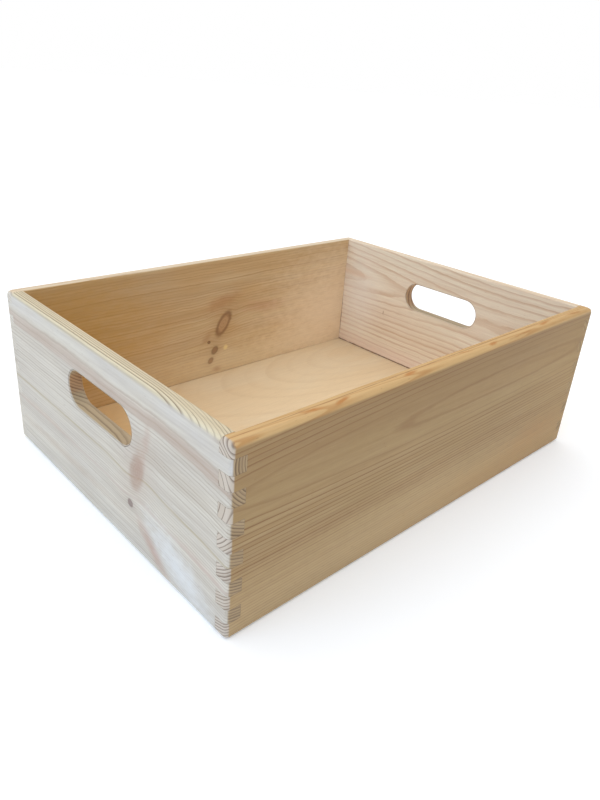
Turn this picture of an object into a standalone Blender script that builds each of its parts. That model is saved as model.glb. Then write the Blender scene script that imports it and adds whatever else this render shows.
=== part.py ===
"""Wooden apple crate: an open pine box with finger-jointed corners, a hand slot
in each end board and a thin plywood floor held in a groove. Metres, +Z up.
X runs along the length, Y across the width, and Z = 0 is the surface it stands on."""

import math

import bmesh
import bpy

# The box, measured outside.
LENGTH = 0.400
WIDTH = 0.296
HEIGHT = 0.134

# The boards.
LONG_BOARD = 0.0105            # thickness of the front and back boards
END_BOARD = 0.0105             # thickness of the two end boards

# The corner joints. The long boards own the top finger and the bottom one.
TOP_FINGER = 0.0090
FINGER = 0.0102
SHORTEST_BOTTOM_FINGER = 0.0080

# Edges sanded after the box is glued up.
TOP_ROUND = 0.0042             # radius along the outer edge of the rim
OUTER_ROUND = 0.0032           # radius along every other outside edge
RIM_EASE = 0.0012              # small bevel round the inside of the rim

# The hand slots, one in the middle of each end board.
SLOT_LENGTH = 0.0875
SLOT_HEIGHT = 0.0285
SLOT_BELOW_RIM = 0.0265        # wood left between the rim and the slot
SLOT_OFFSET = 0.0022           # both ends come off one jig, and one of them is turned round
SLOT_EASE = 0.0008             # small round on the slot's edges
SLOT_ARC_STEPS = 12            # facets in each half-round end

# The floor panel and its groove.
PANEL = 0.0040                 # thickness
PANEL_RISE = 0.0074            # table to the panel's underside
GROOVE_DEPTH = 0.0050

# Clearances.
JOINT_GAP = 0.0003             # glue line between pieces that touch
PROUD = 0.0006                 # what the blanks stand proud before sanding flush

# Bare sanded wood: linear colour and roughness of each piece.
FRONT_PINE = (0.55, 0.38, 0.21)
BACK_PINE = (0.53, 0.34, 0.18)
LEFT_PINE = (0.62, 0.52, 0.41)
RIGHT_PINE = (0.60, 0.44, 0.30)
FLOOR_PLY = (0.62, 0.46, 0.29)
PINE_ROUGHNESS = 0.58
PLY_ROUGHNESS = 0.52

ROUND_STEPS = 4                # facets across each outside round
LARGEST_ROUND = max(TOP_ROUND, OUTER_ROUND)
SMOOTH_BELOW = math.radians(35)
FACING = 0.9                   # how squarely a face's normal has to point one way


def clear_scene():
    for thing in list(bpy.data.objects):
        bpy.data.objects.remove(thing, do_unlink=True)


def new_collection(name):
    group = bpy.data.collections.new(name)
    bpy.context.scene.collection.children.link(group)
    return group


def wood(name, colour, roughness):
    """A plain wood finish."""
    material = bpy.data.materials.new(name)
    material.use_nodes = True
    shader = material.node_tree.nodes["Principled BSDF"]
    shader.inputs["Base Color"].default_value = (*colour, 1.0)
    shader.inputs["Roughness"].default_value = roughness
    shader.inputs["Metallic"].default_value = 0.0
    material.diffuse_color = (*colour, 1.0)
    return material


def joint_levels():
    """Heights where the corner joints change from one board to the other, going up.
    As many whole fingers as fit are cut down from the rim; the rest is the bottom finger."""
    room = HEIGHT - TOP_FINGER - SHORTEST_BOTTOM_FINGER + FINGER
    end_board_fingers = int(room / (2 * FINGER))
    top = HEIGHT - TOP_FINGER
    return [top - step * FINGER for step in reversed(range(2 * end_board_fingers))]


def comb_mesh(name, core_half, finger_half, thickness, owner):
    """A board with a comb of fingers down both ends. A plain core is cut across at every
    joint level, and its ends are pulled out in the bands that this board owns: every
    second band from the bottom, starting with the first (owner 0) or the next (owner 1)."""
    shape = bmesh.new()
    bmesh.ops.create_cube(shape, size=1.0)
    bmesh.ops.scale(shape, vec=(2 * core_half, thickness, HEIGHT + 2 * PROUD), verts=shape.verts)
    bmesh.ops.translate(shape, vec=(0, 0, HEIGHT / 2), verts=shape.verts)
    levels = joint_levels()
    for index, level in enumerate(levels):
        own_band_is_below = index % 2 == owner
        retreat = -JOINT_GAP / 2 if own_band_is_below else JOINT_GAP / 2
        everything = shape.verts[:] + shape.edges[:] + shape.faces[:]
        bmesh.ops.bisect_plane(
            shape, geom=everything, plane_co=(0, 0, level + retreat), plane_no=(0, 0, 1))
    for side in (-1, 1):
        shape.normal_update()
        fingers = [face for face in shape.faces
                   if face.normal.x * side > FACING and band_of(face, levels) % 2 == owner]
        tips = pull_out(shape, fingers)
        bmesh.ops.translate(shape, vec=(side * (finger_half - core_half), 0, 0), verts=tips)
    return mesh_from(shape, name)


def pull_out(shape, faces):
    """Extrudes faces of a closed shape and returns their new corners, ready to be moved."""
    pulled = bmesh.ops.extrude_face_region(shape, geom=faces)["geom"]
    bmesh.ops.delete(shape, geom=faces, context="FACES_ONLY")
    return [item for item in pulled if isinstance(item, bmesh.types.BMVert)]


def band_of(face, levels):
    """How many joint levels lie below the face."""
    height = face.calc_center_median().z
    return sum(1 for level in levels if level < height)


def stadium_outline(length, height):
    """A slot outline with half-round ends, centred."""
    radius = height / 2
    straight = length / 2 - radius
    points = []
    for end, first_angle in ((1, -90), (-1, 90)):
        for step in range(SLOT_ARC_STEPS + 1):
            angle = math.radians(first_angle + 180 * step / SLOT_ARC_STEPS)
            along = end * straight + radius * math.cos(angle)
            points.append((along, radius * math.sin(angle)))
    return points


def flat_mesh(name, outline, thickness):
    """A flat piece with the given outline, centred on its own XY plane."""
    curve = bpy.data.curves.new(name, "CURVE")
    curve.dimensions = "2D"
    curve.fill_mode = "BOTH"
    curve.extrude = thickness / 2
    spline = curve.splines.new("POLY")
    spline.points.add(len(outline) - 1)
    for point, (across, up) in zip(spline.points, outline):
        point.co = (across, up, 0, 1)
    spline.use_cyclic_u = True
    sheet = bpy.data.objects.new(name + "_outline", curve)
    bpy.context.scene.collection.objects.link(sheet)
    graph = bpy.context.evaluated_depsgraph_get()
    mesh = bpy.data.meshes.new_from_object(sheet.evaluated_get(graph))
    bpy.data.objects.remove(sheet, do_unlink=True)
    bpy.data.curves.remove(curve)
    shape = bmesh.new()
    shape.from_mesh(mesh)
    bpy.data.meshes.remove(mesh)
    bmesh.ops.remove_doubles(shape, verts=shape.verts, dist=0.00001)
    bmesh.ops.dissolve_limit(
        shape, angle_limit=math.radians(1), verts=shape.verts, edges=shape.edges)
    bmesh.ops.recalc_face_normals(shape, faces=shape.faces)
    return mesh_from(shape, name)


def mesh_from(shape, name):
    mesh = bpy.data.meshes.new(name)
    shape.to_mesh(mesh)
    shape.free()
    return mesh


def box_mesh(name, size):
    shape = bmesh.new()
    bmesh.ops.create_cube(shape, size=1.0)
    bmesh.ops.scale(shape, vec=size, verts=shape.verts)
    return mesh_from(shape, name)


def add_object(name, mesh, group, location, turn=0):
    thing = bpy.data.objects.new(name, mesh)
    thing.location = location
    thing.rotation_euler.z = math.radians(turn)
    group.objects.link(thing)
    return thing


def add_cutter(name, mesh, group, location):
    cutter = add_object(name, mesh, group, location)
    cutter.hide_render = True
    cutter.display_type = "WIRE"
    return cutter


def add_boolean(board, cutter, operation):
    cut = board.modifiers.new(cutter.name, "BOOLEAN")
    cut.object = cutter
    cut.operation = operation
    cut.solver = "EXACT"


def make_sanded_form(group):
    """The outside of the finished box: every board is sanded back to this form."""
    shape = bmesh.new()
    bmesh.ops.create_cube(shape, size=1.0)
    bmesh.ops.scale(shape, vec=(LENGTH, WIDTH, HEIGHT), verts=shape.verts)
    share = shape.edges.layers.float.new("bevel_weight_edge")
    for edge in shape.edges:
        on_top = all(corner.co.z > 0 for corner in edge.verts)
        edge[share] = TOP_ROUND / LARGEST_ROUND if on_top else OUTER_ROUND / LARGEST_ROUND
    form = add_cutter("sanded_form", mesh_from(shape, "sanded_form"), group, (0, 0, HEIGHT / 2))
    rounding = form.modifiers.new("round_edges", "BEVEL")
    rounding.width = LARGEST_ROUND
    rounding.segments = ROUND_STEPS
    rounding.limit_method = "WEIGHT"
    return form


def make_groove_cutter(group):
    """One flat box that cuts the groove in all four boards. It stops inside the joints."""
    length = LENGTH - 2 * END_BOARD + 2 * GROOVE_DEPTH
    width = WIDTH - 2 * LONG_BOARD + 2 * GROOVE_DEPTH
    height = PANEL + 2 * JOINT_GAP
    mesh = box_mesh("groove_cutter", (length, width, height))
    return add_cutter("groove_cutter", mesh, group, (0, 0, PANEL_RISE + PANEL / 2))


def make_rim_cutter(group):
    """A flared box that takes the sharp inside edge off the rim at 45 degrees. It is as
    wide as the opening one RIM_EASE below the rim, and its sides lean out from there."""
    half_length = LENGTH / 2 - END_BOARD
    half_width = WIDTH / 2 - LONG_BOARD
    shape = bmesh.new()
    bmesh.ops.create_cube(shape, size=1.0)
    for corner in shape.verts:
        drop = 2 * RIM_EASE if corner.co.z < 0 else -RIM_EASE
        spread = RIM_EASE - drop
        corner.co.x = math.copysign(half_length + spread, corner.co.x)
        corner.co.y = math.copysign(half_width + spread, corner.co.y)
        corner.co.z = -drop
    return add_cutter("rim_cutter", mesh_from(shape, "rim_cutter"), group, (0, 0, HEIGHT))


def make_slot_cutter(name, side, group):
    """The cutter of one hand slot. It flares where it leaves the board, which takes the
    sharp edge off both ends of the slot."""
    mesh = flat_mesh(name, stadium_outline(SLOT_LENGTH, SLOT_HEIGHT), END_BOARD - 2 * SLOT_EASE)
    straight = (SLOT_LENGTH - SLOT_HEIGHT) / 2
    shape = bmesh.new()
    shape.from_mesh(mesh)
    for direction in (-1, 1):
        shape.normal_update()
        caps = [face for face in shape.faces if face.normal.z * direction > FACING]
        for corner in pull_out(shape, caps):
            nearest = max(-straight, min(straight, corner.co.x))
            across, up = corner.co.x - nearest, corner.co.y
            spread = 2 * SLOT_EASE / math.hypot(across, up)
            corner.co.x += across * spread
            corner.co.y += up * spread
            corner.co.z += direction * 2 * SLOT_EASE
    shape.to_mesh(mesh)
    shape.free()
    height = HEIGHT - SLOT_BELOW_RIM - SLOT_HEIGHT / 2
    place = (side * (LENGTH - END_BOARD) / 2, side * SLOT_OFFSET, height)
    cutter = add_cutter(name, mesh, group, place)
    cutter.rotation_euler = (math.radians(90), 0, math.radians(90))
    return cutter


def finish_piece(piece, finish, crate):
    piece.data.materials.append(finish)
    piece.data.shade_smooth()
    piece.data.set_sharp_from_angle(angle=SMOOTH_BELOW)
    piece.parent = crate


def add_long_board(name, side, group):
    """Front (side -1) or back (side +1) board. It owns the bottom finger and the top one."""
    core_half = LENGTH / 2 - END_BOARD - JOINT_GAP
    finger_half = LENGTH / 2 + PROUD
    mesh = comb_mesh(name, core_half, finger_half, LONG_BOARD + PROUD, owner=0)
    middle = WIDTH / 2 - (LONG_BOARD - PROUD) / 2
    return add_object(name, mesh, group, (0, side * middle, 0))


def add_end_board(name, side, group):
    """Left (side -1) or right (side +1) board. Its fingers fill the long boards' notches."""
    core_half = WIDTH / 2 - LONG_BOARD - JOINT_GAP
    finger_half = WIDTH / 2 + PROUD
    mesh = comb_mesh(name, core_half, finger_half, END_BOARD + PROUD, owner=1)
    middle = LENGTH / 2 - (END_BOARD - PROUD) / 2
    return add_object(name, mesh, group, (side * middle, 0, 0), turn=90)


def add_floor_panel(group):
    """The plywood floor, held all round by the groove."""
    length = LENGTH - 2 * END_BOARD + 2 * GROOVE_DEPTH - 2 * JOINT_GAP
    width = WIDTH - 2 * LONG_BOARD + 2 * GROOVE_DEPTH - 2 * JOINT_GAP
    mesh = box_mesh("bottom_panel", (length, width, PANEL))
    return add_object("bottom_panel", mesh, group, (0, 0, PANEL_RISE + PANEL / 2))


def build_crate():
    clear_scene()
    parts = new_collection("apple_crate")
    cutters = new_collection("cutters")
    crate = bpy.data.objects.new("crate", None)
    parts.objects.link(crate)
    shared_cuts = (
        (make_sanded_form(cutters), "INTERSECT"),
        (make_groove_cutter(cutters), "DIFFERENCE"),
        (make_rim_cutter(cutters), "DIFFERENCE"),
    )
    left_slot = (make_slot_cutter("left_slot_cutter", -1, cutters), "DIFFERENCE")
    right_slot = (make_slot_cutter("right_slot_cutter", 1, cutters), "DIFFERENCE")
    front = add_long_board("front_board", -1, parts)
    back = add_long_board("back_board", 1, parts)
    left = add_end_board("left_end_board", -1, parts)
    right = add_end_board("right_end_board", 1, parts)
    for board, own_cuts, colour in (
        (front, (), FRONT_PINE),
        (back, (), BACK_PINE),
        (left, (left_slot,), LEFT_PINE),
        (right, (right_slot,), RIGHT_PINE),
    ):
        for cutter, operation in shared_cuts + own_cuts:
            add_boolean(board, cutter, operation)
        finish_piece(board, wood(board.name + "_pine", colour, PINE_ROUGHNESS), crate)
    panel = add_floor_panel(parts)
    finish_piece(panel, wood("floor_plywood", FLOOR_PLY, PLY_ROUGHNESS), crate)


build_crate()
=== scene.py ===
# %% [markdown]
# # A finger-jointed pine crate
#
# The crate is five pieces of wood: two long boards, two end boards with a hand slot, and a
# thin plywood floor in a groove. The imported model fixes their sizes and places. This script
# makes each board again with closer joints and softer edges, and gives it real pine: rings
# round a pith, latewood lines, fibres, knots and end grain.

# %% Load the fixed model
import math

import bmesh
import bpy
from mathutils import Matrix, Vector


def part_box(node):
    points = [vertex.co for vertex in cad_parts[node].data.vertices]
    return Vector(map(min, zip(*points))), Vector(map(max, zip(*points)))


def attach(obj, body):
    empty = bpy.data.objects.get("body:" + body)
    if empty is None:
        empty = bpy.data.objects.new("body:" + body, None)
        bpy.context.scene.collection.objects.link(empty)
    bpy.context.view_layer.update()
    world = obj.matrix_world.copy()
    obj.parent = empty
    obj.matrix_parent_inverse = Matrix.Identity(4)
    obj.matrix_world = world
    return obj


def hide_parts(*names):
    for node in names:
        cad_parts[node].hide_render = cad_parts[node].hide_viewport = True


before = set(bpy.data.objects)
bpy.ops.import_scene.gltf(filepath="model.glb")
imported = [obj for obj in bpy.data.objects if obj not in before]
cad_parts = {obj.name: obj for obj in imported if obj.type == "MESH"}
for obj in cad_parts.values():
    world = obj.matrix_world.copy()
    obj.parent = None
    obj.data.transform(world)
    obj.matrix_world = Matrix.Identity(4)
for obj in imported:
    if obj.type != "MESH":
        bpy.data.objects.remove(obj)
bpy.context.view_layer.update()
print("nodes:", sorted(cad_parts))

# %% [markdown]
# Every outside size and every board's place comes from the model's own boxes. The fingers,
# the hand slots and the rounded edges are given here as numbers, because a box doesn't tell
# them. The long boards own the top finger, and from there down the two boards take turns.

# %% Sizes read from the model
MM = 0.001
front_low, front_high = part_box("front_board")
left_low, left_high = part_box("left_end_board")
panel_low, panel_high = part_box("bottom_panel")

HALF_LENGTH = front_high.x
HALF_WIDTH = -front_low.y
HEIGHT = front_high.z
LONG_BOARD = front_high.y - front_low.y
END_BOARD = left_high.x - left_low.x
FLOOR_TOP = panel_high.z
FLOOR_UNDER = panel_low.z

TOP_FINGER = 9.0 * MM
FINGER = 10.2 * MM
END_FINGERS = 6
JOINT_LEVELS = [HEIGHT - TOP_FINGER - step * FINGER for step in reversed(range(2 * END_FINGERS))]
print("outside", [round(2 * HALF_LENGTH, 4), round(2 * HALF_WIDTH, 4), round(HEIGHT, 4)])
print("joint levels in mm", [round(level / MM, 1) for level in JOINT_LEVELS])

# %% [markdown]
# ## Camera, light and ground
#
# The crate is seen from above its near left corner, with a slightly wide lens that looks
# down by about 25 degrees. A wide, cool light comes from the left and a warmer one from
# above, and the pale surroundings fill the shade, so the left end is bright and the front
# is in soft shade. The ground is a plain pale sheet that glows a little, to stay white.

# %% Camera
CAMERA_PLACE = Vector((-0.3771, -0.3702, 0.3055))
CAMERA_AIM = Vector((0.6202, 0.6586, -0.4261))
CAMERA_ROLL = math.radians(3.95)
LENS = 29.57
SHIFT_RIGHT = 0.0209
SHIFT_DOWN = 0.0245


def add_camera():
    data = bpy.data.cameras.new("camera")
    data.lens = LENS
    data.sensor_width = 36.0
    data.shift_x = SHIFT_RIGHT
    data.shift_y = -SHIFT_DOWN
    data.clip_start = 0.01
    camera = bpy.data.objects.new("camera", data)
    bpy.context.scene.collection.objects.link(camera)
    level = CAMERA_AIM.to_track_quat("-Z", "Y").to_matrix().to_4x4()
    roll = Matrix.Rotation(CAMERA_ROLL, 4, "Z")
    camera.matrix_world = Matrix.Translation(CAMERA_PLACE) @ level @ roll
    bpy.context.scene.camera = camera


add_camera()
print("camera looks along", [round(value, 3) for value in CAMERA_AIM])

# %% Lights
def add_sun(name, from_direction, strength, colour, spread):
    """A wide, far light, so its shade is soft and the same everywhere."""
    data = bpy.data.lights.new(name, "SUN")
    data.energy = strength
    data.color = colour
    data.angle = math.radians(spread)
    light = bpy.data.objects.new(name, data)
    bpy.context.scene.collection.objects.link(light)
    light.rotation_euler = Vector(from_direction).to_track_quat("Z", "Y").to_euler()

# %% Surroundings
def set_surroundings(light_colour, light_strength):
    """The world lights the crate gently, and looks pure white behind it."""
    world = bpy.data.worlds.new("white_surroundings")
    world.use_nodes = True
    tree = world.node_tree
    tree.nodes.clear()
    around = tree.nodes.new("ShaderNodeBackground")
    around.inputs["Color"].default_value = (*light_colour, 1.0)
    around.inputs["Strength"].default_value = light_strength
    behind = tree.nodes.new("ShaderNodeBackground")
    ray = tree.nodes.new("ShaderNodeLightPath")
    mix = tree.nodes.new("ShaderNodeMixShader")
    tree.links.new(ray.outputs["Is Camera Ray"], mix.inputs[0])
    tree.links.new(around.outputs[0], mix.inputs[1])
    tree.links.new(behind.outputs[0], mix.inputs[2])
    behind.inputs["Color"].default_value = (1.0, 1.0, 1.0, 1.0)
    tree.links.new(mix.outputs[0], tree.nodes.new("ShaderNodeOutputWorld").inputs["Surface"])
    bpy.context.scene.world = world


set_surroundings((1.0, 0.97, 0.94), 0.32)
add_sun("sky_from_the_left", (-1.0, -0.12, 0.55), 1.35, (0.30, 0.60, 1.0), 70)
add_sun("soft_daylight", (-0.1, 0.15, 1.0), 2.2, (1.0, 0.93, 0.85), 110)
bpy.context.scene.view_settings.view_transform = "Standard"

# %% Ground
GROUND_RADIUS = 14.0
GROUND_BELOW = 0.2 * MM


def add_ground():
    bpy.ops.object.select_all(action="DESELECT")
    bpy.ops.mesh.primitive_circle_add(vertices=96, radius=GROUND_RADIUS, fill_type="NGON",
                                      location=(0, 0, -GROUND_BELOW))
    ground = bpy.context.object
    ground.name = "ground"
    paper = bpy.data.materials.new("pale_ground")
    paper.use_nodes = True
    shader = paper.node_tree.nodes["Principled BSDF"]
    shader.inputs["Base Color"].default_value = (0.98, 0.98, 0.98, 1.0)
    shader.inputs["Roughness"].default_value = 1.0
    shader.inputs["Specular IOR Level"].default_value = 0.0
    shader.inputs["Emission Color"].default_value = (0.8, 0.92, 1.0, 1.0)
    shader.inputs["Emission Strength"].default_value = 0.15
    ground.data.materials.append(paper)


add_ground()

# %% [markdown]
# ## The boards
#
# A joiner cuts a comb on each end of a board, glues the combs together, and only then sands
# the box, so that one round runs over both boards. The boards are made in that order here. A
# board starts as a block as long as the space between the two boards it meets. It is
# bisected at every joint level, and the end faces of its own bands are extruded into
# fingers that stand a little proud. Then one rounded block, the sanded form, is used on all
# four boards with an intersect, and one flat block cuts the groove in all four.

# %% Edit-mode helpers
def start_piece(name):
    bpy.ops.object.select_all(action="DESELECT")
    bpy.ops.mesh.primitive_cube_add(size=1.0)
    piece = bpy.context.object
    piece.name = name
    piece.data.name = name
    return piece


def block(name, low, high):
    """A box between two corners, with its place in its mesh."""
    piece = start_piece(name)
    low, high = Vector(low), Vector(high)
    piece.scale = high - low
    piece.location = (low + high) / 2
    bpy.ops.object.transform_apply(location=True, rotation=True, scale=True)
    return piece


def in_edit_mode(piece, kind, pick):
    """Opens edit mode with only the faces or edges selected that 'pick' says yes to."""
    bpy.context.view_layer.objects.active = piece
    bpy.ops.object.mode_set(mode="EDIT")
    bpy.ops.mesh.select_mode(type=kind)
    bpy.ops.mesh.select_all(action="DESELECT")
    shape = bmesh.from_edit_mesh(piece.data)
    for element in shape.edges if kind == "EDGE" else shape.faces:
        if pick(element):
            element.select_set(True)
    shape.select_flush_mode()
    bmesh.update_edit_mesh(piece.data)


def out_of_edit_mode():
    bpy.ops.object.mode_set(mode="OBJECT")


def select_only(piece):
    bpy.ops.object.select_all(action="DESELECT")
    piece.select_set(True)
    bpy.context.view_layer.objects.active = piece


def cut_with(piece, cutter, operation="DIFFERENCE"):
    """One Boolean cut, applied at once. The cutter stays for the next board."""
    select_only(piece)
    cut = piece.modifiers.new("cut", "BOOLEAN")
    cut.object = cutter
    cut.operation = operation
    cut.solver = "EXACT"
    bpy.ops.object.modifier_apply(modifier=cut.name)


# %% Sizes of the shared cutters
TOP_RADIUS = 4.2 * MM
OUTER_RADIUS = 3.2 * MM
RIM_RADIUS = 1.2 * MM
RIM_FORM_DEPTH = 20 * MM
SLOT_HALF_LENGTH = 43.75 * MM
SLOT_HALF_HEIGHT = 14.25 * MM
SLOT_MIDDLE = HEIGHT - 26.5 * MM - SLOT_HALF_HEIGHT
SLOT_ROUNDING = 0.9995 * SLOT_HALF_HEIGHT  # a hair less, so that two rounds don't meet
SLOT_OFFSET = 2.2 * MM
SLOT_RADIUS = 0.9 * MM
GROOVE_DEPTH = 5.0 * MM
GROOVE_PLAY = 0.25 * MM
JOINT_GAP = 0.06 * MM
PROUD = 0.6 * MM
NEAR = 0.01 * MM
FLARE_STEPS = 4

# %% The sanded form
def make_sanded_form():
    """A block whose upper edges are rounded more than the rest, by their bevel weights."""
    form = block("sanded_form", (-HALF_LENGTH, -HALF_WIDTH, 0), (HALF_LENGTH, HALF_WIDTH, HEIGHT))

    def on_top(edge):
        return all(corner.co.z > HEIGHT / 2 for corner in edge.verts)

    def elsewhere(edge):
        return not on_top(edge)
    for pick, radius in ((on_top, TOP_RADIUS), (elsewhere, OUTER_RADIUS)):
        in_edit_mode(form, "EDGE", pick)
        bpy.ops.transform.edge_bevelweight(value=radius / TOP_RADIUS)
        out_of_edit_mode()
    rounding = form.modifiers.new("round_edges", "BEVEL")
    rounding.width = TOP_RADIUS
    rounding.segments = 10
    rounding.limit_method = "WEIGHT"
    bpy.ops.object.modifier_apply(modifier=rounding.name)
    return form

# %% The groove
def make_groove_form():
    length = HALF_LENGTH - END_BOARD + GROOVE_DEPTH
    width = HALF_WIDTH - LONG_BOARD + GROOVE_DEPTH
    low = (-length, -width, FLOOR_UNDER - GROOVE_PLAY)
    return block("groove_form", low, (length, width, FLOOR_TOP + GROOVE_PLAY))

# %% The eased rim
def flare(form, end, direction, half_sizes, radius):
    """Opens one end of a cutter in a quarter round, which rounds the edge it leaves."""
    in_edit_mode(form, "FACE", end)
    for step in range(FLARE_STEPS):
        turned = [math.radians(90.0 * (step + ahead) / FLARE_STEPS) for ahead in (0, 1)]
        outward = [(1 - math.cos(turn)) * radius for turn in turned]
        forward = [math.sin(turn) * radius for turn in turned]
        move = Vector(direction) * (forward[1] - forward[0])
        bpy.ops.mesh.extrude_region_move(TRANSFORM_OT_translate={"value": move})
        factors = [(size + outward[1]) / (size + outward[0]) if size else 1.0 for size in half_sizes]
        bpy.ops.transform.resize(value=factors)
    bpy.ops.mesh.extrude_region_move(TRANSFORM_OT_translate={"value": Vector(direction) * MM})
    out_of_edit_mode()


def make_rim_form():
    """A block that fills the crate's mouth and flares at the rim."""
    length, width = HALF_LENGTH - END_BOARD, HALF_WIDTH - LONG_BOARD
    low = (-length, -width, HEIGHT - RIM_FORM_DEPTH)
    form = block("rim_form", low, (length, width, HEIGHT - RIM_RADIUS))

    def top_face(face):
        return face.normal.z > 0.9
    flare(form, top_face, (0, 0, 1), (length, width, 0), RIM_RADIUS)
    return form

# %% The hand slot
def make_slot_form(side):
    """A block with half-round ends, run through one end board and flared at both faces."""
    outer = HALF_LENGTH - SLOT_RADIUS
    inner = HALF_LENGTH - END_BOARD + SLOT_RADIUS
    near, far = (inner, outer) if side > 0 else (-outer, -inner)
    middle = side * SLOT_OFFSET
    low = (near, middle - SLOT_HALF_LENGTH, SLOT_MIDDLE - SLOT_HALF_HEIGHT)
    form = block("slot_form", low, (far, middle + SLOT_HALF_LENGTH, SLOT_MIDDLE + SLOT_HALF_HEIGHT))

    def runs_through(edge):
        run = edge.verts[0].co - edge.verts[1].co
        return abs(run.x) > END_BOARD / 2
    in_edit_mode(form, "EDGE", runs_through)
    bpy.ops.mesh.bevel(offset=SLOT_ROUNDING, segments=14, profile=0.5, affect="EDGES")
    out_of_edit_mode()
    half_sizes = (0, SLOT_HALF_LENGTH, SLOT_HALF_HEIGHT)
    for direction in (-1, 1):
        def end_face(face):
            return face.normal.x * direction > 0.9
        flare(form, end_face, (direction, 0, 0), half_sizes, SLOT_RADIUS)
    return form

# %% Make the shared cutters
sanded_form = make_sanded_form()
groove_form = make_groove_form()
rim_form = make_rim_form()
print("sanded form has", len(sanded_form.data.polygons), "faces")

# %% A board with a comb at both ends
def comb_board(name, axis, core_half, finger_half, cross_low, cross_high, owner):
    """axis is 0 for a board that runs along X and 1 for one along Y. cross_low and
    cross_high are its two faces, and owner is 0 where it has the bottom finger."""
    low, high = Vector((0, 0, -PROUD)), Vector((0, 0, HEIGHT + PROUD))
    low[axis], high[axis] = -core_half, core_half
    low[1 - axis], high[1 - axis] = cross_low, cross_high
    board = block(name, low, high)
    bpy.ops.object.mode_set(mode="EDIT")
    for index, level in enumerate(JOINT_LEVELS):
        retreat = -JOINT_GAP / 2 if index % 2 == owner else JOINT_GAP / 2
        bpy.ops.mesh.select_all(action="SELECT")
        bpy.ops.mesh.bisect(plane_co=(0, 0, level + retreat), plane_no=(0, 0, 1))
    out_of_edit_mode()
    for side in (-1, 1):
        def finger_end(face):
            middle = face.calc_center_median()
            own = sum(level < middle.z for level in JOINT_LEVELS) % 2 == owner
            return own and side * middle[axis] > core_half - NEAR
        in_edit_mode(board, "FACE", finger_end)
        reach = Vector((0, 0, 0))
        reach[axis] = side * (finger_half - core_half)
        bpy.ops.mesh.extrude_region_move(TRANSFORM_OT_translate={"value": reach})
        out_of_edit_mode()
    return board

# %% Sand, groove and shade a board
SMOOTH_UNDER = math.radians(32)


def finish_board(board):
    """Sands the board to the shared form, cuts its groove and sets its shading."""
    cut_with(board, sanded_form, "INTERSECT")
    cut_with(board, groove_form)
    cut_with(board, rim_form)
    select_only(board)
    bpy.ops.object.shade_smooth_by_angle(angle=SMOOTH_UNDER)
    return board

# %% Long boards and end boards
def make_long_board(name, side):
    inner, outer = side * (HALF_WIDTH - LONG_BOARD), side * (HALF_WIDTH + PROUD)
    core_half = HALF_LENGTH - END_BOARD - JOINT_GAP
    low, high = sorted((inner, outer))
    board = comb_board(name, 0, core_half, HALF_LENGTH + PROUD, low, high, owner=0)
    return finish_board(board)


def make_end_board(name, side):
    inner, outer = side * (HALF_LENGTH - END_BOARD), side * (HALF_LENGTH + PROUD)
    core_half = HALF_WIDTH - LONG_BOARD - JOINT_GAP
    low, high = sorted((inner, outer))
    board = comb_board(name, 1, core_half, HALF_WIDTH + PROUD, low, high, owner=1)
    board = finish_board(board)
    slot = make_slot_form(side)
    cut_with(board, slot)
    bpy.data.objects.remove(slot, do_unlink=True)
    return board


front = make_long_board("front_board_pine", -1)
back = make_long_board("back_board_pine", 1)
left = make_end_board("left_end_board_pine", -1)
right = make_end_board("right_end_board_pine", 1)
for board in (front, back, left, right):
    print(board.name, "has", len(board.data.polygons), "faces")

# %% The floor panel
PANEL_PLAY = 0.4 * MM
PANEL_EASE = 0.5 * MM


def make_floor_panel():
    """A sheet with its sawn edges eased by hand, so that it starts easily into the grooves."""
    length = HALF_LENGTH - END_BOARD + GROOVE_DEPTH - PANEL_PLAY
    width = HALF_WIDTH - LONG_BOARD + GROOVE_DEPTH - PANEL_PLAY
    sheet = block("floor_ply", (-length, -width, FLOOR_UNDER), (length, width, FLOOR_TOP))

    def any_edge(edge):
        return True
    in_edit_mode(sheet, "EDGE", any_edge)
    bpy.ops.mesh.bevel(offset=PANEL_EASE, segments=3, profile=0.5, affect="EDGES")
    out_of_edit_mode()
    bpy.ops.object.shade_smooth_by_angle(angle=SMOOTH_UNDER)
    return sheet


floor = make_floor_panel()
for form in (sanded_form, groove_form, rim_form):
    bpy.data.objects.remove(form, do_unlink=True)

# %% [markdown]
# ## Pine
#
# Pine shows four things at once. Each year adds a soft pale layer and a hard brown line,
# and where a flat face cuts those layers it shows stripes and pointed arches. Fine fibres
# run along the board. Knots push the lines aside. On the ends of the board the same layers
# show as tight dark arcs. Painted stripes can't join up round a corner, so the rings here
# are real layers round a centre line that lies outside the board, worked out at every point
# from its place. A face, a rim, a finger's end and the wall of the hand slot then agree.

# %% Writing a node tree: sums
def plug(tree, socket, value):
    """Joins a socket to another node's output, or sets it to a number or colour."""
    if isinstance(value, bpy.types.NodeSocket):
        tree.links.new(value, socket)
    else:
        socket.default_value = value


def calc(tree, operation, first, second=0.0):
    node = tree.nodes.new("ShaderNodeMath")
    node.operation = operation
    for socket, value in zip(node.inputs, (first, second)):
        plug(tree, socket, value)
    return node.outputs[0]


def total(tree, *values):
    result = values[0]
    for value in values[1:]:
        result = calc(tree, "ADD", result, value)
    return result


def product(tree, *values):
    result = values[0]
    for value in values[1:]:
        result = calc(tree, "MULTIPLY", result, value)
    return result


def minus(tree, first, second):
    return calc(tree, "SUBTRACT", first, second)


def divided(tree, first, second):
    return calc(tree, "DIVIDE", first, second)


def unsigned(tree, value):
    """The value without its sign."""
    return calc(tree, "ABSOLUTE", value)


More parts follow.
